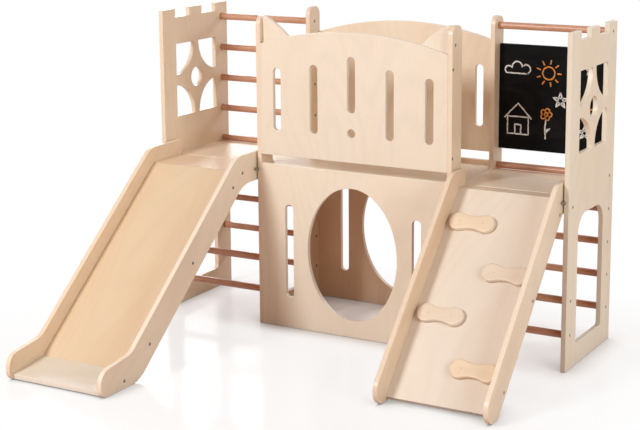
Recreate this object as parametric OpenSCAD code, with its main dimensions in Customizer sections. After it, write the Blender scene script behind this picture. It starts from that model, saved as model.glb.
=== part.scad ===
// Wooden climbing frame: two towers of plywood panels joined by a raised room, dowel ladders at the back,
// and a slide and a climbing ramp that hang on dowel bars at the front of the towers.

/* [Frame] */
// Thickness of every plywood board
ply = 15; // [12:1:18]
// Depth of the frame, front edge to rear edge of the panels
depth = 380; // [360:5:440]
// Height of the upright panels
height = 1000; // [960:5:1080]
// Clear width inside each tower
tower_w = 356; // [330:2:420]
// Clear width of the room between the towers
room_w = 650; // [620:5:760]
// Height of the decks' upper face above the floor
deck_h = 518; // [490:1:540]
// Open gap between the back of the slide or ramp and the deck behind it
deck_gap = 6; // [5:0.5:12]

/* [Outer panels] */
// Width of each notch in the castle top
notch_w = 82; // [60:1:100]
// Depth of each notch in the castle top
notch_d = 28; // [15:1:45]
// Height of the window's sill, as a share of the height from deck to panel top
window_sill = 0.255; // [0.205:0.001:0.315]
// Width of the window
window_w = 234; // [222:2:250]
// Height of the window, as a share of the height from deck to panel top
window_h = 0.502; // [0.46:0.001:0.535]
// Width of the bars between the window's quarter-round openings, at the ends
window_bar = 26; // [18:1:64]
// Diameter of the round hole in the middle of the window
window_hole_d = 66; // [40:1:80]

/* [Doors] */
// Width of the crawl door in each upright panel
door_w = 216; // [180:2:230]
// Height of the crawl door's sill above the floor
door_sill = 66; // [50:1:90]
// Distance from the crawl door's head up to the cleats under the decks
door_head = 22; // [16:1:72]
// Corner radius at the top of the crawl door
door_top_r = 60; // [20:1:85]
// Corner radius at the foot of the crawl door
door_foot_r = 12; // [4:1:30]

/* [Inner panels] */
// Width of each post that rises above the deck
post_w = 68; // [60:1:80]
// Corner radius at the top of each post
post_tip_r = 28; // [4:1:30]
// Radius where each post runs into the bridge at deck height
post_foot_r = 22; // [10:1:40]

/* [Lower room panels] */
// Rise of the lower panels above the deck
lower_rise = 14; // [5:1:20]
// Width of the oval crawl hole
oval_w = 316; // [260:2:350]
// Distance of the oval crawl hole from the panel's upper and lower edge
oval_edge = 53; // [46:1:86]
// Distance of each lower slot from the middle
lower_slot_x = 225; // [205:1:255]
// Width of each lower slot
lower_slot_w = 30; // [16:1:32]
// Height of each lower slot's foot above the floor
lower_slot_z = 101; // [60:1:140]
// Distance from each lower slot's top up to the panel's upper edge
lower_slot_drop = 128; // [101:1:231]

/* [Upper room panels] */
// Open gap between the lower and the upper panels
peek_gap = 29; // [15:1:40]
// Distance from the panels' top down to the crown of the arched edge
crown_drop = 36; // [20:1:60]
// Rise of the arched edge from its ends to its crown
arch_rise = 50; // [20:1:70]
// Width of each upper slot
slot_w = 28; // [18:1:34]
// Distance between neighbouring upper slots
slot_pitch = 132.5; // [110:0.5:140]
// Height of the side slots' foot, as a share of the panel's height at its crown
slot_foot = 0.196; // [0.145:0.001:0.25]
// Length of the outer slots, as a share of that height
outer_slot_l = 0.496; // [0.37:0.001:0.55]
// Length of the inner slots, as a share of that height
inner_slot_l = 0.538; // [0.395:0.001:0.585]
// Height of the middle slot's foot, as a share of that height
middle_slot_foot = 0.382; // [0.36:0.001:0.422]
// Length of the middle slot, as a share of that height
middle_slot_l = 0.432; // [0.295:0.001:0.475]
// Diameter of the round hole under the middle slot
peep_d = 28; // [16:1:36]
// Height of that hole's centre, as a share of the panel's height at its crown
peep_z = 0.226; // [0.17:0.001:0.261]

/* [Corner ears] */
// Reach of each ear from its post
ear_reach = 122.5; // [90:0.5:140]
// Height of each ear along its post
ear_h = 120; // [110:1:150]
// Height of the ear's short free edge
ear_toe = 25; // [10:1:40]
// Flat on the top of each ear
ear_tip = 7.5; // [4:0.5:20]
// Bulge of the ear's sloping edge, measured square to its chord
ear_bulge = 9; // [4:0.5:14]

/* [Ladder rungs] */
// Diameter of the rungs and hinge bars
rung_d = 22; // [20:1:24]
// Height of the lowest rear rung
first_rung_z = 110; // [102:1:138]
// Gap between the tower decks' rear edge and the rung behind it
rung_rest = 1; // [0.5:0.5:4]
// Depth of that rung's underside below the decks' upper face
rung_sink = 2; // [1:0.5:5]
// Distance from the panels' top down to the highest rung of the left ladder
left_rung_drop = 50; // [42:1:78]
// Distance from the panels' top down to the high rung over the blackboard
top_rung_drop = 30; // [24:1:50]
// Height of the lowest front rung
front_rung_z = 105; // [80:1:140]
// Depth of each rung's seat in a panel
seat = 5; // [3:0.5:7]
// Radial clearance of pegs, screws and rungs in their holes
fit = 0.1; // [0.05:0.01:0.15]

/* [Blackboard] */
// Height of the blackboard's lower edge above the deck
chalk_foot = 62; // [40:1:75]
// Distance from the panels' top down to the blackboard's upper edge
chalk_drop = 88; // [70:1:140]
// Distance of the blackboard's back from the panels' rear edges
chalk_inset = 14; // [6:1:20]

/* [Deck cleats] */
// Width of the cleats under the decks
cleat_w = 20; // [16:1:30]
// Height of the cleats under the decks
cleat_h = 25; // [18:1:28]
// Length of the cleats under the decks
cleat_l = 230; // [180:5:250]

/* [Slide and ramp rails] */
// Gap between a rail and the panel beside it
rail_gap = 5; // [3:0.5:8]
// Reach of the rails behind the panels' front edge
rail_in = 60; // [56:1:70]
// Height of a rail's upper edge above the deck, at its rear arm
arm_rise = 50; // [40:1:65]
// Depth of a rail's lower edge below the deck, at its rear arm
arm_drop = 44; // [44:1:60]
// Radial running clearance of the hinge bars in the rails
bar_fit = 0.08; // [0.03:0.01:0.1]
// Gap between a hinge bar and the landing above it
bar_gap = 1; // [0.5:0.1:2]
// Outside diameter of the spacer rings on the hinge bars
spacer_d = 33; // [30:1:33]
// Diameter of the stop bolts' heads in front of the panels
stop_d = 10; // [8:0.5:12]
// Gap between a stop bolt and the panel behind it
stop_gap = 4; // [3.5:0.1:5]
// Length of the stop bolts' heads outside the rail
stop_l = 13; // [11:0.5:16]

/* [Slide] */
// Reach of the slide's landing in front of the panels
slide_landing_l = 95; // [80:1:120]
// Horizontal run of the slide's bed
slide_run = 586; // [560:2:640]
// Height of the slide's bed at its foot
slide_foot_z = 35; // [28:1:45]
// Horizontal length of the run-out
runout_l = 134; // [110:1:170]
// Height of the run-out's front edge
runout_tip_z = 18; // [16:0.5:24]
// Reach of the rails in front of the run-out
nose_l = 15; // [8:1:20]
// Corner radius at the upper front of the nose
nose_r = 42; // [25:1:50]
// Height of the slide rails above the bed, square to it
slide_side = 48; // [40:1:60]
// Depth of the slide rails below the bed, square to it
slide_under = 46; // [40:1:55]
// Height of the slide rails above the run-out, square to it
runout_side = 59; // [54:1:66]

/* [Ramp] */
// Length of the ramp's landing
ramp_landing_l = 46; // [40:1:50]
// Horizontal run of the ramp's board
ramp_run = 478; // [460:2:540]
// Height of the ramp board's upper face at its lower end
ramp_foot_z = 16; // [14:1:26]
// Height of the ramp rails above the board, square to it
ramp_side = 68; // [62:1:74]
// Depth of the ramp rails below the board, square to it
ramp_under = 24; // [20:1:32]
// Reach of the ramp rails' rounded feet in front of the board
ramp_toe_l = 51; // [45:1:60]

/* [Climbing holds] */
// Length of a hold
hold_l = 144; // [120:1:150]
// Width of a hold across its round ends
hold_w = 58; // [48:1:66]
// Radius of the hollows that draw in a hold's waist
hold_waist_r = 90; // [60:1:140]
// Thickness of a hold
hold_t = 15; // [15:1:30]
// Distance of the holds from the board's middle line
hold_side = 76; // [60:1:80]
// Distance of the first hold from the top of the board
hold_first = 119; // [100:1:140]
// Distance between neighbouring holds
hold_pitch = 153; // [120:1:160]

/* [Screws] */
// Diameter of the screw heads
head_d = 10; // [8:0.5:11]
// Thickness of the screw heads
head_t = 3; // [2:0.5:4]
// Depth of the screw heads below the surface
head_sink = 0.5; // [0.2:0.1:1]
// Diameter of the screw shanks
shank_d = 5; // [4:0.5:6]
// Length of the screws in rungs, panels and rails
screw_l = 50; // [40:1:60]
// Length of the screws in cleats and holds
short_screw_l = 28; // [26:1:29]
// Diameter of the blackboard's pegs
peg_d = 8; // [6:0.5:9]
// Depth of each peg in a panel
peg_seat = 8; // [5:0.5:10]
// Length of each peg in the blackboard
peg_l = 24; // [15:1:40]

/* [Hidden] */
left_names = [for (n = [1:9]) str("left_rung_", n)];
right_names = [for (n = [1:5]) str("right_rung_", n)];
birch = [0.93, 0.82, 0.67];
beech = [0.66, 0.4, 0.28];
slate = [0.12, 0.12, 0.13];
steel = [0.3, 0.3, 0.32];
// Overrun of every cut past the face that it opens
cut = 1;
// Number of straight pieces in a rounded corner
corner_steps = 10;
// Number of straight pieces around the oval crawl hole
oval_steps = 64;
$fn = 64;

// The towers' faces, measured from the middle of the frame
inner_x = room_w / 2;
tower_x = inner_x + ply;
outer_x = tower_x + tower_w;
side_x = outer_x + ply;
// The frame's front edges lie behind the middle of the whole footprint
slide_tip = slide_landing_l + slide_run + runout_l + nose_l;
frame_y = (slide_tip - depth) / 2;
deck_y = rail_in + deck_gap;
under_deck = deck_h - ply;

// Places of rungs and bars in the panels, as depth and height
rear_y = depth - post_w / 2;
front_y = post_w / 2;
deck_l = rear_y - rung_d / 2 - rung_rest - deck_y;
bar_z = under_deck - bar_gap - rung_d / 2;
deck_rung_z = deck_h - rung_sink + rung_d / 2;
rungs_under = 4;
rungs_over = 4;
low_pitch = (deck_rung_z - first_rung_z) / rungs_under;
high_pitch = (height - left_rung_drop - deck_rung_z) / rungs_over;
right_rungs = [for (n = [0:rungs_under]) [rear_y, first_rung_z + n * low_pitch]];
left_rungs = concat(right_rungs, [for (n = [1:rungs_over]) [rear_y, deck_rung_z + n * high_pitch]]);
top_rung = [rear_y, height - top_rung_drop];
front_rungs = [for (n = [0:1]) [front_y, front_rung_z + n * low_pitch]];
bar = [front_y, bar_z];
left_seats = concat(left_rungs, front_rungs, [bar]);
right_seats = concat(right_rungs, [top_rung], front_rungs, [bar]);

// Heights of the room's panels and the screws that hold them
lower_h = deck_h + lower_rise;
upper_z = lower_h + peek_gap;
crown_z = height - crown_drop;
upper_h = crown_z - upper_z;
arch_r = (inner_x * inner_x + arch_rise * arch_rise) / (2 * arch_rise);
lower_screw_in = 115;
upper_screw_in = 43;
ear_screw_in = 58;
room_screw_z = [
    lower_screw_in,
    lower_h - lower_screw_in,
    upper_z + upper_screw_in,
    crown_z - arch_rise - upper_screw_in
];
front_screws = [for (z = room_screw_z) [ply / 2, z]];
rear_screws = [for (z = room_screw_z) [depth - ply / 2, z]];
ear_screw = [ply * 1.5, height - ear_screw_in];
room_screws = concat(front_screws, rear_screws, [ear_screw]);

// Cleats and their screws, set apart on the two faces of a panel
cleat_y = deck_y + (deck_l - cleat_l) / 2;
cleat_z = under_deck - cleat_h;
tower_cleat_in = 35;
room_cleat_in = 65;
function cleat_fix(inset) = [for (y = [cleat_y + inset, cleat_y + cleat_l - inset]) [y, cleat_z + cleat_h / 2]];

// Blackboard and its pegs
chalk_y = depth - chalk_inset - ply;
chalk_z = deck_h + chalk_foot;
chalk_h = height - chalk_drop - chalk_z;
chalk_peg_in = 60;
chalk_pegs = [for (z = [chalk_z + chalk_peg_in, chalk_z + chalk_h - chalk_peg_in]) [chalk_y + ply / 2, z]];

// Boards of the slide and the ramp, between the rails
rail_x = tower_x + rail_gap;
board_x = rail_x + ply;
board_w = tower_w - 2 * (rail_gap + ply);
arm_tip_r = 10;
landing_screw_in = 14;
stop = [-stop_gap - stop_d / 2, deck_h - ply / 2];
stop_shank_d = 6;
stop_seat = ply - 4;

// Upper face of the slide, from the tower to the floor
slide_top = [-slide_landing_l, deck_h];
slide_foot = [-slide_landing_l - slide_run, slide_foot_z];
slide_end = [slide_foot.x - runout_l, runout_tip_z];
slide_a = atan2(slide_top.y - slide_foot.y, slide_run);
runout_a = atan2(slide_foot.y - slide_end.y, runout_l);
slide_screw_in = 60;
slide_screw_pitch = 297;
runout_screw_in = 42;
slide_shoulder_r = 90;
slide_armpit_r = 110;
slide_instep_r = 70;
slide_heel_r = 100;
slide_sole_r = 28;
slide_fix = concat(
    [for (y = [rail_in - landing_screw_in, landing_screw_in - slide_landing_l]) [y, deck_h - ply / 2]],
    [for (n = [0:2]) down(slide_top, slide_a, slide_screw_in + n * slide_screw_pitch, ply / 2)],
    [down(slide_foot, runout_a, runout_screw_in, ply / 2)]
);

// Upper face of the ramp, from the tower to the floor
ramp_top = [rail_in - ramp_landing_l, deck_h];
ramp_foot = [ramp_top.x - ramp_run, ramp_foot_z];
ramp_a = atan2(ramp_top.y - ramp_foot.y, ramp_run);
ramp_toe = ramp_foot.x - ramp_toe_l;
ramp_screw_in = 50;
ramp_screw_pitch = 284;
ramp_shoulder_r = 60;
ramp_armpit_r = 20;
ramp_toe_r = 40;
ramp_heel_r = 24;
ramp_fix = concat(
    [[rail_in - landing_screw_in, deck_h - ply / 2]],
    [for (n = [0:2]) down(ramp_top, ramp_a, ramp_screw_in + n * ramp_screw_pitch, ply / 2)]
);
hold_screw_in = 35;

// Point that lies s along a slope of angle a from p, and t below its upper face
function down(p, a, s, t) = p + s * [-cos(a), -sin(a)] + t * [sin(a), -cos(a)];
// Upward normal of a slope of angle a that falls to the front
function up(a) = [-sin(a), cos(a)];
// Corner of a bent strip at p between slopes of angle a and b, offset by t
function bend(p, a, b, t) = p + t * (up(a) + up(b)) / (1 + up(a) * up(b));
// Depth at which the slope of angle a through p reaches height z
function reach(p, a, z) = p.x + (z - p.y) / tan(a);
// Point where the slope of angle a through p meets the slope of angle b through q
function meet(p, a, q, b) =
    let (y = (q.y - p.y + p.x * tan(a) - q.x * tan(b)) / (tan(a) - tan(b)))
    [y, p.y + (y - p.x) * tan(a)];

// Outline of corner points, each given as [across, up, radius]
function flat(p) = [p.x, p.y];
function turn(a) = a > 180 ? a - 360 : a < -180 ? a + 360 : a;
function corner(a, b, c, r) =
    let (u = (a - b) / norm(a - b))
    let (v = (c - b) / norm(c - b))
    let (half = acos(u * v) / 2)
    let (centre = b + (u + v) / norm(u + v) * r / sin(half))
    let (from = b + u * r / tan(half) - centre)
    let (to = b + v * r / tan(half) - centre)
    let (start = atan2(from.y, from.x))
    let (sweep = turn(atan2(to.y, to.x) - start))
    [for (i = [0:corner_steps]) let (w = start + sweep * i / corner_steps) centre + r * [cos(w), sin(w)]];
function rounded(p) = [
    for (i = [0:len(p) - 1])
    let (a = flat(p[(i + len(p) - 1) % len(p)]))
    let (c = flat(p[(i + 1) % len(p)]))
    each (p[i].z > 0 ? corner(a, flat(p[i]), c, p[i].z) : [flat(p[i])])
];

// A board standing across the frame's width from x, drawn as depth and height
module upright(x, thick = ply) {
    translate([x, frame_y, 0]) rotate([90, 0, 90]) linear_extrude(thick) children();
}

// A board facing the front at depth y, drawn as width and height
module facing(y) {
    translate([0, frame_y + y + ply, 0]) rotate([90, 0, 0]) linear_extrude(ply) children();
}

// Copies of a piece that point to the right from x, at places given as depth and height
module rightward(x, places) {
    for (p = places) translate([x, frame_y + p.x, p.y]) rotate([0, 90, 0]) children();
}

// Copies of a piece that point to the left from x
module leftward(x, places) {
    for (p = places) translate([x, frame_y + p.x, p.y]) rotate([0, -90, 0]) children();
}

module slot(x, z, w, l) {
    translate([x - w / 2, z + w / 2]) square([w, l - w]);
    translate([x, z + w / 2]) circle(d = w);
    translate([x, z + l - w / 2]) circle(d = w);
}

module screw(l) {
    translate([0, 0, head_sink]) cylinder(d = head_d, h = head_t);
    translate([0, 0, head_sink]) cylinder(d = shank_d, h = l - head_sink);
}

module screw_hole(l) {
    translate([0, 0, -cut]) cylinder(d = head_d + 2 * fit, h = cut + head_sink + head_t);
    translate([0, 0, -cut]) cylinder(d = shank_d + 2 * fit, h = cut + l);
}

module rung_seat() {
    translate([0, 0, -cut]) cylinder(d = rung_d + 2 * fit, h = cut + seat);
}

module pilot(l) {
    translate([0, 0, -cut]) cylinder(d = shank_d + 2 * fit, h = cut + l);
}

module peg_hole(l) {
    translate([0, 0, -cut]) cylinder(d = peg_d + 2 * fit, h = cut + l);
}

module door() {
    left = (depth - door_w) / 2;
    head = cleat_z - door_head;
    polygon(rounded([
        [left, door_sill, door_foot_r],
        [left + door_w, door_sill, door_foot_r],
        [left + door_w, head, door_top_r],
        [left, head, door_top_r]
    ]));
}

module window() {
    above = height - deck_h;
    half = [window_w, window_h * above] / 2;
    middle = [depth / 2, deck_h + window_sill * above + half.y];
    translate(middle) circle(d = window_hole_d);
    for (sx = [-1, 1], sz = [-1, 1])
        translate(middle) intersection() {
            translate([sx * half.x, sz * half.y]) circle(r = min(half) - window_bar / 2);
            translate([(sx - 1) * half.x / 2, (sz - 1) * half.y / 2]) square(half);
        }
}

// Outer panel of the right tower
module outer_panel(seats) {
    merlon_w = (depth - 2 * notch_w) / 3;
    difference() {
        upright(outer_x) difference() {
            square([depth, height]);
            for (n = [0, 1])
                translate([merlon_w + n * (merlon_w + notch_w), height - notch_d]) square([notch_w, notch_d + cut]);
            window();
            door();
        }
        rightward(outer_x, seats) rung_seat();
        leftward(side_x, seats) screw_hole(screw_l);
        rightward(outer_x, cleat_fix(tower_cleat_in)) pilot(short_screw_l - cleat_w);
    }
}

// Inner panel of the right tower
module inner_panel(seats) {
    difference() {
        upright(inner_x) difference() {
            polygon(rounded([
                [0, 0, 0],
                [depth, 0, 0],
                [depth, height, post_tip_r],
                [depth - post_w, height, post_tip_r],
                [depth - post_w, deck_h, post_foot_r],
                [post_w, deck_h, post_foot_r],
                [post_w, height, post_tip_r],
                [0, height, post_tip_r]
            ]));
            door();
        }
        leftward(tower_x, seats) rung_seat();
        rightward(inner_x, seats) screw_hole(screw_l);
        leftward(tower_x, room_screws) screw_hole(screw_l);
        leftward(tower_x, cleat_fix(tower_cleat_in)) pilot(short_screw_l - cleat_w);
        rightward(inner_x, cleat_fix(room_cleat_in)) pilot(short_screw_l - cleat_w);
    }
}

module left_outer_panel() {
    color(birch) mirror([1, 0, 0]) outer_panel(left_seats);
}

module right_outer_panel() {
    color(birch) difference() {
        outer_panel(right_seats);
        rightward(outer_x, chalk_pegs) peg_hole(peg_seat);
    }
}

module left_inner_panel() {
    color(birch) mirror([1, 0, 0]) inner_panel(left_seats);
}

module right_inner_panel() {
    color(birch) difference() {
        inner_panel(right_seats);
        leftward(tower_x, chalk_pegs) peg_hole(peg_seat);
    }
}

// Pilot holes in the edges of the room's panels
module edge_pilots(places) {
    rightward(-inner_x, places) pilot(screw_l - ply);
    leftward(inner_x, places) pilot(screw_l - ply);
}

module lower_panel(y) {
    half_h = lower_h / 2;
    slot_l = lower_h - lower_slot_drop - lower_slot_z;
    color(birch) difference() {
        facing(y) difference() {
            translate([-inner_x, 0]) square([room_w, lower_h]);
            polygon([
                for (i = [0:oval_steps - 1]) let (w = 360 * i / oval_steps)
                [oval_w / 2 * cos(w), half_h + (half_h - oval_edge) * sin(w)]
            ]);
            for (s = [-1, 1]) slot(s * lower_slot_x, lower_slot_z, lower_slot_w, slot_l);
        }
        edge_pilots(concat(front_screws, rear_screws));
    }
}

module front_lower_panel() {
    lower_panel(0);
}

module rear_lower_panel() {
    lower_panel(depth - ply);
}

// Slot n of an upper panel, counted from the middle
module upper_slot(n, foot, l) {
    slot(n * slot_pitch, upper_z + foot * upper_h, slot_w, l * upper_h);
}

module upper_panel(y) {
    color(birch) difference() {
        facing(y) difference() {
            intersection() {
                translate([-inner_x, upper_z]) square([room_w, upper_h]);
                translate([0, crown_z - arch_r]) circle(r = arch_r);
            }
            for (s = [-2, 2]) upper_slot(s, slot_foot, outer_slot_l);
            for (s = [-1, 1]) upper_slot(s, slot_foot, inner_slot_l);
            upper_slot(0, middle_slot_foot, middle_slot_l);
            translate([0, upper_z + peep_z * upper_h]) circle(d = peep_d);
        }
        edge_pilots(concat(front_screws, rear_screws));
    }
}

module front_upper_panel() {
    upper_panel(0);
}

module rear_upper_panel() {
    upper_panel(depth - ply);
}

module ear() {
    tip = [inner_x - ear_tip, height];
    toe = [inner_x - ear_reach, height - ear_h + ear_toe];
    chord = norm(tip - toe);
    bow_r = (chord * chord / 4 + ear_bulge * ear_bulge) / (2 * ear_bulge);
    inward = [tip.y - toe.y, toe.x - tip.x] / chord;
    color(birch) difference() {
        facing(ply) intersection() {
            translate([toe.x, height - ear_h]) square([ear_reach, ear_h]);
            translate((tip + toe) / 2 + (bow_r - ear_bulge) * inward) circle(r = bow_r);
        }
        leftward(inner_x, [ear_screw]) pilot(screw_l - ply);
    }
}

module left_ear() {
    mirror([1, 0, 0]) ear();
}

module right_ear() {
    ear();
}

module tower_deck() {
    color(birch) translate([tower_x, frame_y + deck_y, under_deck]) cube([tower_w, deck_l, ply]);
}

module left_deck() {
    mirror([1, 0, 0]) tower_deck();
}

module right_deck() {
    tower_deck();
}

module centre_deck() {
    color(birch) translate([-inner_x, frame_y + ply, under_deck]) cube([room_w, depth - 2 * ply, ply]);
}

module cleat(x) {
    translate([x, frame_y + cleat_y, cleat_z]) cube([cleat_w, cleat_l, cleat_h]);
}

module half_cleats() {
    difference() {
        cleat(outer_x - cleat_w);
        rightward(outer_x - cleat_w, cleat_fix(tower_cleat_in)) screw_hole(short_screw_l);
    }
    difference() {
        cleat(tower_x);
        leftward(tower_x + cleat_w, cleat_fix(tower_cleat_in)) screw_hole(short_screw_l);
    }
    difference() {
        cleat(inner_x - cleat_w);
        rightward(inner_x - cleat_w, cleat_fix(room_cleat_in)) screw_hole(short_screw_l);
    }
}

module deck_cleats() {
    color(birch) half_cleats();
    color(birch) mirror([1, 0, 0]) half_cleats();
}

module half_cleat_screws() {
    rightward(outer_x - cleat_w, cleat_fix(tower_cleat_in)) screw(short_screw_l);
    leftward(tower_x + cleat_w, cleat_fix(tower_cleat_in)) screw(short_screw_l);
    rightward(inner_x - cleat_w, cleat_fix(room_cleat_in)) screw(short_screw_l);
}

module cleat_screws() {
    color(steel) half_cleat_screws();
    color(steel) mirror([1, 0, 0]) half_cleat_screws();
}

// Dowel seated in both panels of the right tower
module dowel(place) {
    l = tower_w + 2 * seat;
    color(beech) difference() {
        rightward(tower_x - seat, [place]) cylinder(d = rung_d, h = l);
        rightward(tower_x - seat, [place]) pilot(screw_l - ply + seat);
        leftward(outer_x + seat, [place]) pilot(screw_l - ply + seat);
    }
}

module left_dowel(place) {
    mirror([1, 0, 0]) dowel(place);
}

module right_top_rung() {
    dowel(top_rung);
}

module left_front_rung_1() {
    left_dowel(front_rungs[0]);
}

module left_front_rung_2() {
    left_dowel(front_rungs[1]);
}

module right_front_rung_1() {
    dowel(front_rungs[0]);
}

module right_front_rung_2() {
    dowel(front_rungs[1]);
}

module slide_bar() {
    left_dowel(bar);
}

module ramp_bar() {
    dowel(bar);
}

module spacer() {
    play = 0.3;
    difference() {
        cylinder(d = spacer_d, h = rail_gap - play);
        translate([0, 0, -cut]) cylinder(d = rung_d + 2 * fit, h = rail_gap + 2 * cut);
    }
}

module bar_spacers() {
    color(beech)
        for (m = [0, 1]) mirror([m, 0, 0]) {
            rightward(tower_x, [bar]) spacer();
            leftward(outer_x, [bar]) spacer();
        }
}

module half_rung_screws(seats) {
    rightward(inner_x, seats) screw(screw_l);
    leftward(side_x, seats) screw(screw_l);
}

module rung_screws() {
    color(steel) half_rung_screws(right_seats);
    color(steel) mirror([1, 0, 0]) half_rung_screws(left_seats);
}

module panel_screws() {
    color(steel) for (m = [0, 1]) mirror([m, 0, 0]) leftward(tower_x, room_screws) screw(screw_l);
}

module blackboard() {
    color(slate) difference() {
        translate([tower_x, frame_y + chalk_y, chalk_z]) cube([tower_w, ply, chalk_h]);
        rightward(tower_x, chalk_pegs) peg_hole(peg_l);
        leftward(outer_x, chalk_pegs) peg_hole(peg_l);
    }
}

module blackboard_pegs() {
    color(beech) rightward(tower_x - peg_seat, chalk_pegs) cylinder(d = peg_d, h = peg_seat + peg_l);
    color(beech) leftward(outer_x + peg_seat, chalk_pegs) cylinder(d = peg_d, h = peg_seat + peg_l);
}

module slide_outline() {
    under = down(slide_top, slide_a, 0, slide_under);
    over = slide_top + slide_side * up(slide_a);
    foot = slide_foot + runout_side * up(runout_a);
    crest = meet(over, slide_a, foot, runout_a);
    polygon(rounded([
        [rail_in, deck_h + arm_rise, arm_tip_r],
        [reach(over, slide_a, deck_h + arm_rise), deck_h + arm_rise, slide_shoulder_r],
        [crest.x, crest.y, slide_instep_r],
        [-slide_tip, crest.y - (slide_tip + crest.x) * tan(runout_a), nose_r],
        [-slide_tip, 0, slide_sole_r],
        [reach(under, slide_a, 0), 0, slide_heel_r],
        [reach(under, slide_a, deck_h - arm_drop), deck_h - arm_drop, slide_armpit_r],
        [rail_in, deck_h - arm_drop, arm_tip_r]
    ]));
}

module ramp_outline() {
    under = down(ramp_top, ramp_a, 0, ramp_under);
    over = ramp_top + ramp_side * up(ramp_a);
    polygon(rounded([
        [rail_in, deck_h + arm_rise, arm_tip_r],
        [reach(over, ramp_a, deck_h + arm_rise), deck_h + arm_rise, ramp_shoulder_r],
        [ramp_toe, over.y + (ramp_toe - over.x) * tan(ramp_a), ramp_toe_r],
        [ramp_toe, 0, ramp_toe_r],
        [reach(under, ramp_a, 0), 0, ramp_heel_r],
        [reach(under, ramp_a, deck_h - arm_drop), deck_h - arm_drop, ramp_armpit_r],
        [rail_in, deck_h - arm_drop, arm_tip_r]
    ]));
}

// Bores of a rail that stands at x, its outer face turned to the left
module left_rail_bores(x, places) {
    rightward(x - cut, [bar]) cylinder(d = rung_d + 2 * bar_fit, h = ply + 2 * cut);
    rightward(x, places) screw_hole(screw_l);
    rightward(x - cut, [stop]) cylinder(d = stop_shank_d + 2 * fit, h = stop_seat + cut);
}

module left_rail(places) {
    color(birch) difference() {
        upright(rail_x) children();
        left_rail_bores(rail_x, places);
    }
}

// The right rail is the left one turned over about the tower's middle
module right_rail(places) {
    translate([tower_x + outer_x, 0, 0]) mirror([1, 0, 0]) left_rail(places) children();
}

module rail_screws(places) {
    color(steel) rightward(rail_x, places) screw(screw_l);
    color(steel) leftward(outer_x - rail_gap, places) screw(screw_l);
}

module stop_bolt() {
    translate([0, 0, -stop_l]) cylinder(d = stop_d, h = stop_l);
    cylinder(d = stop_shank_d, h = stop_seat);
}

module stop_bolts() {
    color(steel) rightward(rail_x, [stop]) stop_bolt();
    color(steel) leftward(outer_x - rail_gap, [stop]) stop_bolt();
}

module board_pilots(places) {
    rightward(board_x, places) pilot(screw_l - ply);
    leftward(board_x + board_w, places) pilot(screw_l - ply);
}

module slide_left_rail() {
    mirror([1, 0, 0]) right_rail(slide_fix) slide_outline();
}

module slide_right_rail() {
    mirror([1, 0, 0]) left_rail(slide_fix) slide_outline();
}

module slide_landing() {
    color(birch) mirror([1, 0, 0]) difference() {
        upright(board_x, board_w) polygon([
            [rail_in, deck_h],
            slide_top,
            bend(slide_top, 0, slide_a, -ply),
            [rail_in, under_deck]
        ]);
        board_pilots(slide_fix);
    }
}

module slide_bed() {
    color(birch) mirror([1, 0, 0]) difference() {
        upright(board_x, board_w) polygon([
            slide_top,
            slide_foot,
            bend(slide_foot, slide_a, runout_a, -ply),
            bend(slide_top, 0, slide_a, -ply)
        ]);
        board_pilots(slide_fix);
    }
}

module slide_runout() {
    color(birch) mirror([1, 0, 0]) difference() {
        upright(board_x, board_w) polygon([
            slide_foot,
            slide_end,
            slide_end - ply * up(runout_a),
            bend(slide_foot, slide_a, runout_a, -ply)
        ]);
        board_pilots(slide_fix);
    }
}

module slide_screws() {
    mirror([1, 0, 0]) rail_screws(slide_fix);
}

module slide_stop_bolts() {
    mirror([1, 0, 0]) stop_bolts();
}

module ramp_left_rail() {
    left_rail(ramp_fix) ramp_outline();
}

module ramp_right_rail() {
    right_rail(ramp_fix) ramp_outline();
}

module ramp_landing() {
    color(birch) difference() {
        upright(board_x, board_w) polygon([
            [rail_in, deck_h],
            ramp_top,
            bend(ramp_top, 0, ramp_a, -ply),
            [rail_in, under_deck]
        ]);
        board_pilots(ramp_fix);
    }
}

module ramp_board() {
    color(birch) difference() {
        upright(board_x, board_w) polygon([
            ramp_top,
            ramp_foot,
            ramp_foot - ply * up(ramp_a),
            bend(ramp_top, 0, ramp_a, -ply)
        ]);
        board_pilots(ramp_fix);
        for (n = [1:4]) on_ramp(n) hold_fixings() screw_hole(short_screw_l);
    }
}

module ramp_screws() {
    rail_screws(ramp_fix);
}

module ramp_stop_bolts() {
    stop_bolts();
}

// Place of hold n on the ramp's upper face, drawn flat with the slope upward
module on_ramp(n) {
    spot = down(ramp_top, ramp_a, hold_first + (n - 1) * hold_pitch, 0);
    side = n % 2 == 1 ? -1 : 1;
    translate([board_x + board_w / 2 + side * hold_side, frame_y + spot.x, spot.y])
        rotate([ramp_a, 0, 0])
        children();
}

// Screws that come through the board from behind into a hold
module hold_fixings() {
    for (s = [-1, 1]) translate([s * hold_screw_in, 0, -ply]) children();
}

// Two round ends with a drawn-in waist between them
module hold_outline() {
    end_r = hold_w / 2;
    end_x = hold_l / 2 - end_r;
    span = end_r + hold_waist_r;
    waist_y = sqrt(span * span - end_x * end_x);
    neck = [end_x * hold_waist_r / span, waist_y * end_r / span];
    for (s = [-1, 1]) translate([s * end_x, 0]) circle(r = end_r);
    difference() {
        translate(-neck) square(2 * neck);
        for (s = [-1, 1]) translate([0, s * waist_y]) circle(r = hold_waist_r);
    }
}

module hold(n) {
    color(birch) difference() {
        on_ramp(n) linear_extrude(hold_t) hold_outline();
        on_ramp(n) hold_fixings() screw_hole(short_screw_l);
    }
}

module hold_screws() {
    color(steel) for (n = [1:4]) on_ramp(n) hold_fixings() screw(short_screw_l);
}

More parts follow.
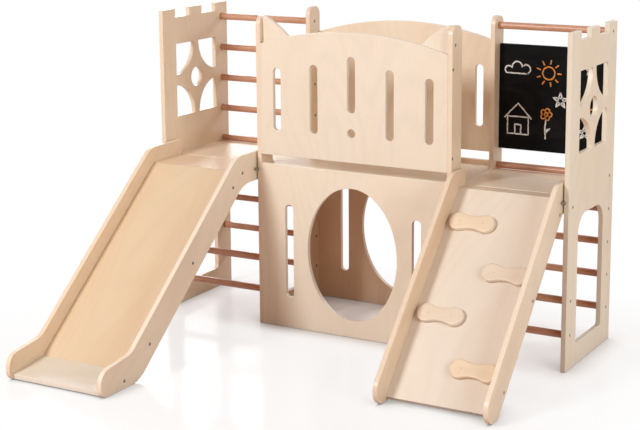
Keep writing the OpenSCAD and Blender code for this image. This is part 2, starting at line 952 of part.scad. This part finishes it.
left_outer_panel();
left_inner_panel();
right_inner_panel();
right_outer_panel();
front_lower_panel();
rear_lower_panel();
front_upper_panel();
rear_upper_panel();
left_ear();
right_ear();
left_deck();
centre_deck();
right_deck();
deck_cleats();
cleat_screws();
for (n = [0:8]) left_dowel(left_rungs[n]);
for (n = [0:4]) dowel(right_rungs[n]);
right_top_rung();
left_front_rung_1();
left_front_rung_2();
right_front_rung_1();
right_front_rung_2();
slide_bar();
ramp_bar();
bar_spacers();
rung_screws();
panel_screws();
blackboard();
blackboard_pegs();
slide_left_rail();
slide_right_rail();
slide_landing();
slide_bed();
slide_runout();
slide_screws();
slide_stop_bolts();
ramp_left_rail();
ramp_right_rail();
ramp_landing();
ramp_board();
ramp_screws();
ramp_stop_bolts();
hold(1);  // hold_1
hold(2);  // hold_2
hold(3);  // hold_3
hold(4);  // hold_4
hold_screws();
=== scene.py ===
import math
import random

import bpy
from mathutils import Matrix, Vector


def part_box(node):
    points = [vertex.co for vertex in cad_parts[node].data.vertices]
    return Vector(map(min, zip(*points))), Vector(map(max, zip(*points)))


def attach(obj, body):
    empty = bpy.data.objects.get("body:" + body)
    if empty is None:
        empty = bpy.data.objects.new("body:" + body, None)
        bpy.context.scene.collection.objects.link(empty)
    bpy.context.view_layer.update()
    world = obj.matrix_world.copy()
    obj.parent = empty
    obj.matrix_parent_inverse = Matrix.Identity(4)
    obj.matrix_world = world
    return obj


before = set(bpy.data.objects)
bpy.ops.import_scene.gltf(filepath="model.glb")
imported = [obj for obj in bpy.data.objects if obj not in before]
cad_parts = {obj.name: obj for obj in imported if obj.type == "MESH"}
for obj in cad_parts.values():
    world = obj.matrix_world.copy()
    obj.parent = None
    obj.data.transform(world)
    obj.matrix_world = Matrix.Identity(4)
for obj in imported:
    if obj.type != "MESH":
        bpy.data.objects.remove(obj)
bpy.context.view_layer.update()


# The two outer panels of the towers: birch plywood sheets, sawn with a castle top, a window and a crawl door.
# The faces are lacquered rotary-cut veneer with upright grain; the sawn edges show the glued layers.
# Screws from outside hold them to the ends of the rungs.
X, Y, Z = 0, 1, 2
MIX_SHARE, MIX_FIRST, MIX_SECOND, MIX_COLOUR = 0, 6, 7, 2


def new_finish(name):
    finish = bpy.data.materials.new(name)
    finish.use_nodes = True
    tree = finish.node_tree
    return finish, tree, tree.nodes["Principled BSDF"]


def lay(tree, kind, feeds=None, out=0, **settings):
    made = tree.nodes.new("ShaderNode" + kind)
    for key, value in settings.items():
        setattr(made, key, value)
    for socket, value in (feeds or {}).items():
        if isinstance(value, bpy.types.NodeSocket):
            tree.links.new(value, made.inputs[socket])
        else:
            made.inputs[socket].default_value = value
    return made.outputs[out]


def reckon(tree, operation, *terms):
    return lay(tree, "Math", dict(enumerate(terms)), operation=operation)


def spread(tree, value, low, high, to_low=0.0, to_high=1.0, **settings):
    span = {"Value": value, "From Min": low, "From Max": high, "To Min": to_low, "To Max": to_high}
    return lay(tree, "MapRange", span, **settings)


def speckle(tree, place, scale, detail, roughness=0.5, distortion=0.0):
    grain = {"Vector": place, "Scale": scale, "Detail": detail}
    return lay(tree, "TexNoise", {**grain, "Roughness": roughness, "Distortion": distortion})


def two_tone(tree, share, first, second):
    tones = [c if isinstance(c, bpy.types.NodeSocket) else (*c, 1) for c in (first, second)]
    feeds = {MIX_SHARE: share, MIX_FIRST: tones[0], MIX_SECOND: tones[1]}
    return lay(tree, "Mix", feeds, out=MIX_COLOUR, data_type="RGBA")


def shaded(tree, colour, shade):
    return lay(tree, "VectorMath", {0: colour, 1: shade}, operation="MULTIPLY")


def sheet_start(node, across, tilt):
    turn = Matrix.Rotation(tilt, 3, "X")
    return min((turn @ v.co)[across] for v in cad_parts[node].data.vertices)


def birch_ply(node, across, along, pale, warm, tilt=0.0, gloss=0.42, coat=0.12, coat_rough=0.3,
              figure=1.0, edge=1.0, ease=0.002):
    sheet, tree, shader = new_finish("birch_ply_" + node)
    draw = random.Random(node)
    spot = tree.nodes.new("ShaderNodeTexCoord")
    turned = {"Rotation": (tilt, 0, 0)}
    place = lay(tree, "Mapping", {"Vector": spot.outputs["Object"], **turned})
    side = lay(tree, "Mapping", {"Vector": spot.outputs["Normal"], **turned}, vector_type="NORMAL")
    shift = [draw.uniform(-5, 5) for _ in range(3)]

    def drawn_out(share):
        stretch = [1.0, 1.0, 1.0]
        stretch[along] = share
        return lay(tree, "Mapping", {"Vector": place, "Scale": stretch, "Location": shift})

    # The veneer: broad clouds of tone, the wavy rings of the peeled log, fine fibres and dark flecks.
    fibre_run, figure_run = 0.07, 0.3
    ring_count = 120.0
    fibre_place = drawn_out(fibre_run)
    figure_place = drawn_out(figure_run)
    cloud = speckle(tree, figure_place, scale=5.0, detail=3.0, distortion=0.5)
    rings = speckle(tree, figure_place, scale=3.2, detail=1.0)
    rings = reckon(tree, "MULTIPLY", rings, ring_count)
    rings = reckon(tree, "SINE", rings)
    rings = spread(tree, rings, -0.2, 1.0)
    fibre = speckle(tree, fibre_place, scale=420.0, detail=3.0, roughness=0.6)
    fleck = speckle(tree, fibre_place, scale=900.0, detail=1.0)
    fleck = spread(tree, fleck, 0.66, 0.76)
    ring_shade, fibre_shade, fleck_shade, lift = (s * figure for s in (-0.025, -0.08, -0.10, 0.035))
    veneer = spread(tree, cloud, 0.32, 0.68)
    veneer = two_tone(tree, veneer, pale, warm)
    shade = reckon(tree, "MULTIPLY_ADD", rings, ring_shade, 1.0)
    shade = reckon(tree, "MULTIPLY_ADD", fibre, fibre_shade, shade)
    shade = reckon(tree, "MULTIPLY_ADD", fleck, fleck_shade, shade)
    shade = reckon(tree, "ADD", shade, lift)
    veneer = shaded(tree, veneer, shade)

    # The sawn edge: nine layers, light and dark by turns, with a rough end grain.
    thickness, layers = 0.015, 9
    layer = thickness / layers
    depth = lay(tree, "SeparateXYZ", {"Vector": place}, out=across)
    depth = reckon(tree, "ADD", depth, -sheet_start(node, across, tilt))
    pair = reckon(tree, "MULTIPLY", depth, 0.5 / layer)
    pair = reckon(tree, "FRACT", pair)
    pair = reckon(tree, "GREATER_THAN", pair, 0.5)
    face_fade, cross_fade, cross_dark = 0.85, 0.9, 0.84
    # The edge factor scales the sawn edges' brightness piece by piece: above 1 it is a painted highlight,
    # below 1 painted shade.
    face_layer = [c ** face_fade * edge for c in pale]
    cross_layer = [c ** cross_fade * cross_dark * edge for c in warm]
    sawn = two_tone(tree, pair, face_layer, cross_layer)
    grain_end = speckle(tree, place, scale=700.0, detail=2.0)
    rough_end = reckon(tree, "MULTIPLY_ADD", grain_end, 0.2, 0.9)
    sawn = shaded(tree, sawn, rough_end)

    # A face that looks across the sheet shows veneer, and every other one is sawn.
    facing = 0.7
    flat = lay(tree, "SeparateXYZ", {"Vector": side}, out=across)
    flat = reckon(tree, "ABSOLUTE", flat)
    flat = reckon(tree, "GREATER_THAN", flat, facing)
    tree.links.new(two_tone(tree, flat, sawn, veneer), shader.inputs["Base Color"])
    gloss_swing = 0.16
    polish = reckon(tree, "MULTIPLY_ADD", fibre, gloss_swing, gloss - gloss_swing / 2)
    tree.links.new(polish, shader.inputs["Roughness"])
    tooth = reckon(tree, "MULTIPLY_ADD", rings, 0.4, fibre)
    eased = lay(tree, "Bevel", {"Radius": ease}, samples=6)
    relief = {"Strength": 0.12, "Distance": 0.0004, "Height": tooth, "Normal": eased}
    tree.links.new(lay(tree, "Bump", relief), shader.inputs["Normal"])
    shader.inputs["Coat Weight"].default_value = coat
    shader.inputs["Coat Roughness"].default_value = coat_rough
    return sheet


def dress(node, finish, round_over=0.0):
    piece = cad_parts[node]
    for slot in piece.material_slots:
        slot.material = finish
    if round_over:
        joined = piece.modifiers.new("joined_faces", "WELD")
        joined.merge_threshold = 0.00001
        flat = piece.modifiers.new("flat_faces", "DECIMATE")
        flat.decimate_type = "DISSOLVE"
        flat.angle_limit = math.radians(0.5)
        eased = piece.modifiers.new("eased_edges", "BEVEL")
        eased.width = round_over
        eased.segments = 2
        eased.limit_method = "ANGLE"
        eased.angle_limit = math.radians(50)
        eased.use_clamp_overlap = False
        even = piece.modifiers.new("even_faces", "WEIGHTED_NORMAL")
        even.keep_sharp = False


def ply_piece(node, across, along, pale, warm, round_over=0.0, **finish):
    dress(node, birch_ply(node, across, along, pale, warm, **finish), round_over)


panel_round = 0.001
# The left outer panel's darker, warmer veneer is painted shade on its inner face; the right outer panel's
# paler veneer is painted light on its lit outer face.
ply_piece("left_outer_panel", X, Z, (0.80, 0.665, 0.505), (0.77, 0.605, 0.43), panel_round, edge=1.06)
ply_piece("right_outer_panel", X, Z, (0.825, 0.73, 0.595), (0.795, 0.67, 0.51), panel_round, edge=0.95)


# The two inner panels of the towers: the same sheets, each sawn to two posts, a bridge at deck height and a
# crawl door below. Screws from the tower side hold the room's panels to their faces.
ply_piece("left_inner_panel", X, Z, (0.81, 0.65, 0.495), (0.77, 0.59, 0.425), panel_round, edge=1.06)
ply_piece("right_inner_panel", X, Z, (0.82, 0.66, 0.50), (0.78, 0.60, 0.43), panel_round, edge=1.04)


# The room's panels: two low ones with an oval crawl hole, two high ones with an arched top and slots, and two
# corner ears. All are plywood sheets with eased edges, held by screws through the inner panels.
ply_piece("front_lower_panel", Y, Z, (0.835, 0.73, 0.60), (0.815, 0.69, 0.545), panel_round)
for node in ("front_upper_panel", "left_ear", "right_ear"):
    ply_piece(node, Y, Z, (0.815, 0.72, 0.605), (0.795, 0.68, 0.55), panel_round)
ply_piece("rear_upper_panel", Y, Z, (0.835, 0.695, 0.55), (0.805, 0.645, 0.485), panel_round)
# The low rear panel's darker, browner veneer is painted shade for the inside of the room.
ply_piece("rear_lower_panel", Y, Z, (0.80, 0.605, 0.435), (0.76, 0.545, 0.375), panel_round)


# The three decks: plywood boards with a smoother, glossier lacquer, because they are stood on.
# They lie on the cleats between the panels.
deck_round = 0.0006
deck_lacquer = {"gloss": 0.4, "coat": 0.2, "coat_rough": 0.25, "figure": 2.0}
for node in ("left_deck", "centre_deck", "right_deck"):
    ply_piece(node, Z, X, (0.90, 0.77, 0.61), (0.84, 0.67, 0.49), deck_round, **deck_lacquer)


# The cleats: plain planed strips of the same pale wood, without a clear coat because the decks hide them.
# They are screwed to the panels and carry the edges of the decks.
ply_piece("deck_cleats", Z, Y, (0.78, 0.63, 0.47), (0.74, 0.57, 0.40), gloss=0.6, coat=0.0)


# The ladder rungs and hinge bars: turned beech dowels with a red-brown stain that sinks deeper into the open
# grain, under a satin lacquer. They sit in blind seats in the panels and are screwed through from outside.
def stained_beech(name, grain):
    wood, tree, shader = new_finish(name)
    dark_stain, light_stain, ray_stain = (0.455, 0.195, 0.11), (0.665, 0.365, 0.235), (0.32, 0.11, 0.06)
    stretch = [1.0, 1.0, 1.0]
    stretch[grain] = 0.05
    spot = lay(tree, "TexCoord", out="Object")
    along = lay(tree, "Mapping", {"Vector": spot, "Scale": stretch})
    streak = speckle(tree, along, scale=260.0, detail=4.0, roughness=0.6)
    broad = speckle(tree, along, scale=40.0, detail=2.0)
    ray = speckle(tree, along, scale=1100.0, detail=1.0)
    ray = spread(tree, ray, 0.62, 0.74)
    blend = reckon(tree, "MULTIPLY", streak, 0.65)
    blend = reckon(tree, "MULTIPLY_ADD", broad, 0.35, blend)
    blend = spread(tree, blend, 0.34, 0.66)
    stain = two_tone(tree, blend, dark_stain, light_stain)
    stain = two_tone(tree, ray, stain, ray_stain)
    tree.links.new(stain, shader.inputs["Base Color"])
    polish = reckon(tree, "MULTIPLY_ADD", streak, 0.18, 0.32)
    tree.links.new(polish, shader.inputs["Roughness"])
    relief = lay(tree, "Bump", {"Strength": 0.15, "Distance": 0.0003, "Height": streak})
    tree.links.new(relief, shader.inputs["Normal"])
    shader.inputs["Coat Weight"].default_value = 0.2
    shader.inputs["Coat Roughness"].default_value = 0.25
    return wood


dowel_stain = stained_beech("stained_beech_dowel", X)
dowels = [f"left_rung_{n}" for n in range(1, 10)] + [f"right_rung_{n}" for n in range(1, 6)]
dowels += [f"{side}_front_rung_{n}" for side in ("left", "right") for n in (1, 2)]
dowels += ["right_top_rung", "slide_bar", "ramp_bar", "bar_spacers", "blackboard_pegs"]
for node in dowels:
    dress(node, dowel_stain)


# The screws and stop bolts: blackened steel, turned and tumbled, so the gloss varies in fine patches.
# They go through the panels and rails into the ends of the dowels and boards, with their heads let in.
def dark_steel():
    metal, tree, shader = new_finish("dark_steel_screws")
    spot = lay(tree, "TexCoord", out="Object")
    patch = speckle(tree, spot, scale=600.0, detail=3.0)
    tint = two_tone(tree, patch, (0.19, 0.16, 0.135), (0.36, 0.315, 0.27))
    tree.links.new(tint, shader.inputs["Base Color"])
    polish = reckon(tree, "MULTIPLY_ADD", patch, 0.25, 0.32)
    tree.links.new(polish, shader.inputs["Roughness"])
    relief = lay(tree, "Bump", {"Strength": 0.1, "Distance": 0.0002, "Height": patch})
    tree.links.new(relief, shader.inputs["Normal"])
    shader.inputs["Metallic"].default_value = 0.7
    return metal


black_screw = dark_steel()
screw_bodies = {"rung_screws": "frame", "panel_screws": "frame", "cleat_screws": "frame"}
screw_bodies.update({"slide_screws": "slide", "ramp_screws": "ramp"})
for node in (*screw_bodies, "slide_stop_bolts", "ramp_stop_bolts", "hold_screws"):
    dress(node, black_screw)


# The chalkboard of the right tower: a plywood board with matt black lacquer, wiped so often that a faint grey
# haze of chalk stays on it. Four wooden pegs hold it between the tower's panels.
def chalk_lacquer():
    slate, tree, shader = new_finish("blackboard_lacquer")
    spot = lay(tree, "TexCoord", out="Object")
    swipe = lay(tree, "Mapping", {"Vector": spot, "Rotation": (0, 0.5, 0), "Scale": (1.0, 1.0, 3.0)})
    haze = speckle(tree, swipe, scale=9.0, detail=5.0, distortion=1.2)
    haze = spread(tree, haze, 0.45, 0.8)
    grit = speckle(tree, spot, scale=900.0, detail=2.0)
    dust = reckon(tree, "MULTIPLY", haze, grit)
    tint = two_tone(tree, dust, (0.0028, 0.0024, 0.0024), (0.018, 0.017, 0.0165))
    tree.links.new(tint, shader.inputs["Base Color"])
    polish = reckon(tree, "MULTIPLY_ADD", grit, 0.2, 0.5)
    tree.links.new(polish, shader.inputs["Roughness"])
    relief = lay(tree, "Bump", {"Strength": 0.2, "Distance": 0.0002, "Height": grit})
    tree.links.new(relief, shader.inputs["Normal"])
    shader.inputs["Specular IOR Level"].default_value = 0.08
    return slate


board_round = 0.0008
dress("blackboard", chalk_lacquer(), board_round)


# The drawing on the chalkboard: soft white and orange chalk, rubbed on in single strokes.
# A house, a flower, a sun, a cloud, stars and a swirl lie on the board's front face as thin films.
def chalk(name, colour):
    powder, tree, shader = new_finish(name)
    rubbed_thin = 0.12
    spot = lay(tree, "TexCoord", out="Object")
    grit = speckle(tree, spot, scale=620.0, detail=3.0, roughness=0.7)
    grit = spread(tree, grit, 0.30, 0.52)
    tint = two_tone(tree, grit, [c * rubbed_thin for c in colour], colour)
    tree.links.new(tint, shader.inputs["Base Color"])
    shader.inputs["Roughness"].default_value = 0.95
    return powder


def flat_piece(name, corners, faces, finish):
    mesh = bpy.data.meshes.new(name)
    mesh.from_pydata(corners, [], faces)
    mesh.materials.append(finish)
    piece = bpy.data.objects.new(name, mesh)
    bpy.context.scene.collection.objects.link(piece)
    return piece


def strokes(name, lines, width, finish):
    step, shake, lift = 0.006, 0.0004, 0.0003
    thin, thick = 0.38, 0.58
    draw = random.Random(name)
    low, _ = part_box("blackboard")
    corners, faces = [], []
    for line in lines:
        path = []
        for a, b in zip(line, line[1:]):
            a, b = Vector(a), Vector(b)
            parts = max(1, round((b - a).length / step))
            path += [a.lerp(b, k / parts) for k in range(parts)]
        path.append(Vector(line[-1]))
        path = [p + Vector((draw.gauss(0, shake), draw.gauss(0, shake))) for p in path]
        first = len(corners)
        for k, p in enumerate(path):
            ahead = path[min(k + 1, len(path) - 1)] - path[max(k - 1, 0)]
            across = Vector((-ahead.y, ahead.x)).normalized() * width * draw.uniform(thin, thick)
            for q in (p + across, p - across):
                corners.append((low.x + q.x, low.y - lift, low.z + q.y))
        for k in range(len(path) - 1):
            i = first + 2 * k
            faces.append((i, i + 1, i + 3, i + 2))
    film = flat_piece(name, corners, faces, finish)
    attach(film, "frame")


def ring(x, z, r, turns=1.0, start=0.0, steps=24):
    angles = [start + turns * math.tau * k / steps for k in range(steps + 1)]
    return [(x + r * math.cos(a), z + r * math.sin(a)) for a in angles]


def star(x, z, r):
    tips = [math.pi / 2 + k * math.tau * 2 / 5 for k in range(6)]
    return [(x + r * math.cos(t), z + r * math.sin(t)) for t in tips]


stroke_width = 0.0045
walls = [(0.03, 0.05), (0.03, 0.105), (0.10, 0.105), (0.10, 0.05), (0.028, 0.05)]
roof = [(0.02, 0.10), (0.065, 0.148), (0.11, 0.10)]
door = [(0.055, 0.05), (0.055, 0.08), (0.075, 0.08), (0.075, 0.05)]
cloud = ring(0.06, 0.262, 0.017, 0.5, 0.0) + ring(0.032, 0.252, 0.012, 0.5, 0.5)[1:]
cloud += [(0.024, 0.242), (0.10, 0.242)] + ring(0.09, 0.256, 0.014, 0.6, -1.5)
stem = [(0.158, 0.04), (0.155, 0.075), (0.159, 0.105)]
leaf = [(0.156, 0.06), (0.172, 0.075), (0.157, 0.068)]
stars = [star(0.205, 0.165, 0.026), star(0.30, 0.265, 0.018), star(0.285, 0.07, 0.022)]
white_lines = [walls, roof, door, cloud, stem, leaf, *stars]
strokes("chalk_white_drawing", white_lines, stroke_width, chalk("white_chalk", (0.82, 0.81, 0.79)))

sun_x, sun_z, sun_rays = 0.165, 0.248, 9
sun = [ring(sun_x, sun_z, 0.020)]
for k in range(sun_rays):
    t = k * math.tau / sun_rays
    sun.append([(sun_x + r * math.cos(t), sun_z + r * math.sin(t)) for r in (0.028, 0.042)])
flower_x, flower_z, petal_out, petal_count = 0.159, 0.119, 0.012, 5
petals = []
for k in range(petal_count):
    t = k * math.tau / petal_count
    petal_x = flower_x + petal_out * math.cos(t)
    petal_z = flower_z + petal_out * math.sin(t)
    petals.append(ring(petal_x, petal_z, 0.007, steps=12))
swirl = ring(0.30, 0.17, 0.026, 1.6, 0.4, 36)
orange_lines = [*sun, *petals, swirl]
strokes("chalk_orange_drawing", orange_lines, stroke_width, chalk("orange_chalk", (0.80, 0.30, 0.07)))


# The slide: two rails sawn from plywood, and a landing, a bed and a run-out between them, all screwed from
# outside. The bed has a warmer, smoother face veneer with its grain down the slope; the run-out's is across.
# The rails hang on the left tower's hinge bar.
deck_top, bed_end, runout_end = 0.518, 0.035, 0.018
bed_run, runout_run = 0.586, 0.134
rail_round = 0.0015
slide_slope = math.atan2(deck_top - bed_end, bed_run)
runout_slope = math.atan2(bed_end - runout_end, runout_run)


def deeper(veneer, shares):
    return [c * s for c, s in zip(veneer, shares)]


# The left rail's darker, warmer veneer is painted shade on its inner face, and the right rail's paler veneer
# is painted light on its lit outer face.
slide_rail_lit_and_shaded_veneers = {"slide_left_rail": (0.82, 0.645, 0.475), "slide_right_rail": (0.835, 0.71, 0.57)}
for node, veneer in slide_rail_lit_and_shaded_veneers.items():
    flame = deeper(veneer, (0.95, 0.90, 0.85))
    ply_piece(node, X, Y, veneer, flame, rail_round, tilt=-slide_slope, edge=1.12)
landing_lacquer = {"gloss": 0.4, "coat": 0.25, "coat_rough": 0.22}
ply_piece("slide_landing", Z, X, (0.82, 0.62, 0.44), (0.78, 0.565, 0.38), **landing_lacquer)
ply_piece("slide_bed", Z, Y, (0.755, 0.585, 0.40), (0.725, 0.525, 0.335),
          tilt=-slide_slope, gloss=0.36, coat=0.3, figure=0.8)
ply_piece("slide_runout", Z, X, (0.83, 0.765, 0.66), (0.79, 0.705, 0.585),
          tilt=-runout_slope, gloss=0.34, coat=0.4, coat_rough=0.2, edge=1.15)


# The climbing ramp: two rails, a short landing and a board of the same plywood, all screwed from outside.
# The rails hang on the right tower's hinge bar, as the slide's do on the left one.
board_end, board_run = 0.016, 0.478
ramp_slope = math.atan2(deck_top - board_end, board_run)
# The left rail's darker, warmer veneer is painted shade on its inner face, against the paler right rail.
climb_rail_lit_and_shaded_veneers = {"ramp_left_rail": (0.785, 0.61, 0.45), "ramp_right_rail": (0.83, 0.69, 0.53)}
for node, veneer in climb_rail_lit_and_shaded_veneers.items():
    flame = deeper(veneer, (0.94, 0.88, 0.83))
    ply_piece(node, X, Y, veneer, flame, rail_round, tilt=-ramp_slope, figure=1.5, edge=1.08)
ply_piece("ramp_landing", Z, X, (0.78, 0.63, 0.48), (0.74, 0.57, 0.42), **landing_lacquer)
ply_piece("ramp_board", Z, Y, (0.785, 0.685, 0.585), (0.765, 0.645, 0.53), tilt=-ramp_slope)


# The four climbing holds: thick bone-shaped pieces of birch plywood, with rims that are rounded for the hand.
# Screws from behind the board hold them, so their faces are plain.
hold_round, hold_ease = 0.004, 0.006
hold_veneers = {"hold_1": (0.82, 0.67, 0.50), "hold_2": (0.79, 0.665, 0.53)}
hold_veneers.update({"hold_3": (0.78, 0.665, 0.54), "hold_4": (0.83, 0.655, 0.47)})
for node, veneer in hold_veneers.items():
    flame = deeper(veneer, (0.96, 0.91, 0.86))
    ply_piece(node, Z, X, veneer, flame, hold_round, tilt=-ramp_slope, ease=hold_ease)


# The hexagon sockets of the screw heads, pressed into the blackened steel, are drawn as painted shade.
# Each is a dark film on the outer face of a head, which is found as the wide end of its screw.
def socket_shadow():
    shadow, tree, shader = new_finish("socket_shadow")
    patch = lay(tree, "TexNoise", {"Scale": 900.0})
    tint = two_tone(tree, patch, (0.006, 0.006, 0.006), (0.02, 0.019, 0.018))
    tree.links.new(tint, shader.inputs["Base Color"])
    shader.inputs["Roughness"].default_value = 0.7
    return shadow


def single_screws(mesh):
    owner = list(range(len(mesh.vertices)))

    def root(i):
        while owner[i] != i:
            owner[i] = owner[owner[i]]
            i = owner[i]
        return i

    spots = {}
    for v in mesh.vertices:
        key = tuple(round(c, 5) for c in v.co)
        if key in spots:
            owner[root(v.index)] = root(spots[key])
        spots[key] = v.index
    for e in mesh.edges:
        a, b = (root(i) for i in e.vertices)
        owner[a] = b
    screws = {}
    for v in mesh.vertices:
        screws.setdefault(root(v.index), []).append(v.co)
    return screws.values()


def socket_marks(node, body):
    shank_radius, socket_radius, proud, corner_count = 0.004, 0.0022, 0.00005, 6
    corners, faces = [], []
    for points in single_screws(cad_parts[node].data):
        y = (min(p.y for p in points) + max(p.y for p in points)) / 2
        z = (min(p.z for p in points) + max(p.z for p in points)) / 2
        ends = min(p.x for p in points), max(p.x for p in points)
        head = [p.x for p in points if math.hypot(p.y - y, p.z - z) > shank_radius]
        out = -1 if min(head) - ends[0] < ends[1] - max(head) else 1
        x = ends[0] if out < 0 else ends[1]
        first = len(corners)
        for k in range(corner_count):
            a = k * math.tau / corner_count * out
            hex_y = y + socket_radius * math.cos(a)
            hex_z = z + socket_radius * math.sin(a)
            corners.append((x + out * proud, hex_y, hex_z))
        faces.append(tuple(range(first, first + corner_count)))
    marks = flat_piece(node + "_sockets", corners, faces, socket_painted_shade)
    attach(marks, body)


socket_painted_shade = socket_shadow()
for node, body in screw_bodies.items():
    socket_marks(node, body)


# The studio floor: a pale, smooth sheet that runs out into white, so that no horizon shows.
# Its white glow is weaker under the frame and the room as painted shade, painted contact shade darkens it
# where the wood stands on it, and it throws warm light up at it.
def looked_at(tree):
    rays = tree.nodes.new("ShaderNodeLightPath")
    seen = reckon(tree, "MAXIMUM", rays.outputs["Is Camera Ray"], rays.outputs["Is Glossy Ray"])
    return reckon(tree, "MAXIMUM", seen, rays.outputs["Is Transmission Ray"])


def studio_floor():
    paint, tree, shader = new_finish("studio_floor")
    shader.inputs["Roughness"].default_value = 0.16
    shader.inputs["Specular IOR Level"].default_value = 0.35
    spot = lay(tree, "TexCoord", out="Object")

    def apart(middle, half):
        side = lay(tree, "VectorMath", {0: spot, 1: middle}, operation="SUBTRACT")
        side = lay(tree, "VectorMath", {0: side}, operation="ABSOLUTE")
        side = lay(tree, "VectorMath", {0: side, 1: half}, operation="SUBTRACT")
        side = lay(tree, "VectorMath", {0: side, 1: (0, 0, 0)}, operation="MAXIMUM")
        return lay(tree, "VectorMath", {0: side}, out="Value", operation="LENGTH")

    soft = {"interpolation_type": "SMOOTHSTEP"}
    frame_middle, frame_half, room_half = (0, 0.415, 0), (0.70, 0.19, 0), (0.30, 0.17, 0)
    footprint_middle, footprint_half = (0, 0, 0), (0.70, 0.60, 0)
    # Painted shade: less white glow is mixed in under the frame, and less still under the room.
    near = spread(tree, apart(frame_middle, frame_half), 0.0, 0.10, to_low=-0.26, to_high=0.0, **soft)
    room = spread(tree, apart(frame_middle, room_half), 0.0, 0.08, to_low=-0.28, to_high=0.0, **soft)
    near = reckon(tree, "ADD", near, room)
    far = spread(tree, apart(footprint_middle, footprint_half), 0.0, 0.55, to_low=0.74, **soft)
    white_share = reckon(tree, "ADD", near, far)

    seen = looked_at(tree)
    tone = two_tone(tree, seen, (0.62, 0.40, 0.30), (0.97, 0.955, 0.95))
    # Painted contact shade: an occlusion test darkens the floor's colour and its white share close under the
    # wood.
    clear = lay(tree, "AmbientOcclusion", {"Distance": 0.12}, out="AO", samples=8)
    clear = spread(tree, clear, 0.2, 0.85, to_low=0.28)
    tree.links.new(shaded(tree, tone, clear), shader.inputs["Base Color"])
    white_share = reckon(tree, "MULTIPLY", white_share, clear)
    white_share = reckon(tree, "MULTIPLY", white_share, seen)
    white = lay(tree, "Emission", {"Color": (1, 1, 1, 1), "Strength": 1.0})
    mix = lay(tree, "MixShader", {0: white_share, 1: shader.outputs[0], 2: white})
    tree.links.new(mix, tree.nodes["Material Output"].inputs["Surface"])
    return paint


floor_near, floor_far, below_feet = 12, 24, 0.0005
floor_corners = [(-floor_near, -floor_near, 0), (floor_near, -floor_near, 0)]
floor_corners += [(floor_near, floor_far, 0), (-floor_near, floor_far, 0)]
floor = flat_piece("studio_floor", floor_corners, [(0, 1, 2, 3)], studio_floor())
floor.location.z = -below_feet


# The studio light: an even white surround with a warm fill, and four round soft boxes on stands.
# They are a key light at the left front, a side light on the right, a back light behind, and a ladder light
# at the left rear.
def studio_surround():
    surround = bpy.data.worlds.new("studio_surround")
    bpy.context.scene.world = surround
    surround.use_nodes = True
    tree = surround.node_tree
    fill_strength, fill_tint, white = 0.40, (1.0, 0.68, 0.53), (1, 1, 1)
    seen = looked_at(tree)
    strength = spread(tree, seen, 0.0, 1.0, to_low=fill_strength)
    tree.links.new(strength, tree.nodes["Background"].inputs["Strength"])
    tree.links.new(two_tone(tree, seen, fill_tint, white), tree.nodes["Background"].inputs["Color"])


def soft_light(name, place, aim, size, power, colour):
    lamp = bpy.data.lights.new(name, "AREA")
    lamp.shape = "DISK"
    lamp.size = size
    lamp.energy = power
    lamp.color = colour
    box = bpy.data.objects.new(name, lamp)
    box.location = place
    box.rotation_euler = (Vector(aim) - Vector(place)).to_track_quat("-Z", "Y").to_euler()
    bpy.context.scene.collection.objects.link(box)


studio_surround()
soft_light("key_light", (-1.5, -3.7, 2.85), aim=(0, 0.1, 0.45), size=1.2, power=146, colour=(0.92, 0.98, 1.0))
soft_light("side_light", (3.8, -1.4, 1.5), aim=(0.2, 0.3, 0.5), size=2.0, power=70, colour=(0.82, 0.97, 1.0))
soft_light("back_light", (1.2, 4.2, 2.8), aim=(0, 0.3, 0.5), size=2.0, power=60, colour=(0.90, 0.97, 1.0))
soft_light("ladder_light", (-3.0, 3.2, 2.1), aim=(0, 0.4, 0.5), size=1.6, power=60, colour=(0.92, 0.98, 1.0))


# The viewpoint: a long lens at the right front, above the tops of the towers, that looks slightly down.
# Its axis lies off the middle of the picture, as in a picture that was cropped.
picture_wide, picture_high, film_wide = 640, 430, 36
focal_length, axis_across, axis_down = 1541, 334.3, 150
eye_place = (2.2321, -3.8612, 1.5005)
eye = bpy.data.cameras.new("viewpoint")
eye.sensor_fit = "HORIZONTAL"
eye.sensor_width = film_wide
eye.lens = focal_length / picture_wide * film_wide
eye.shift_x = (picture_wide / 2 - axis_across) / picture_wide
eye.shift_y = (axis_down - picture_high / 2) / picture_wide
eye.clip_end = 100
yaw, pitch, roll = (math.radians(a) for a in (29.28, -10.92, -0.32))
ahead = Vector((-math.sin(yaw) * math.cos(pitch), math.cos(yaw) * math.cos(pitch), math.sin(pitch)))
level = Vector((math.cos(yaw), math.sin(yaw), 0))
upright = level.cross(ahead)
right = level * math.cos(roll) + upright * math.sin(roll)
up = upright * math.cos(roll) - level * math.sin(roll)
turn = Matrix((right, up, -ahead)).transposed().to_4x4()
viewpoint = bpy.data.objects.new("viewpoint", eye)
viewpoint.matrix_world = Matrix.Translation(eye_place) @ turn
bpy.context.scene.collection.objects.link(viewpoint)
bpy.context.scene.camera = viewpoint
bpy.context.scene.view_settings.view_transform = "Standard"
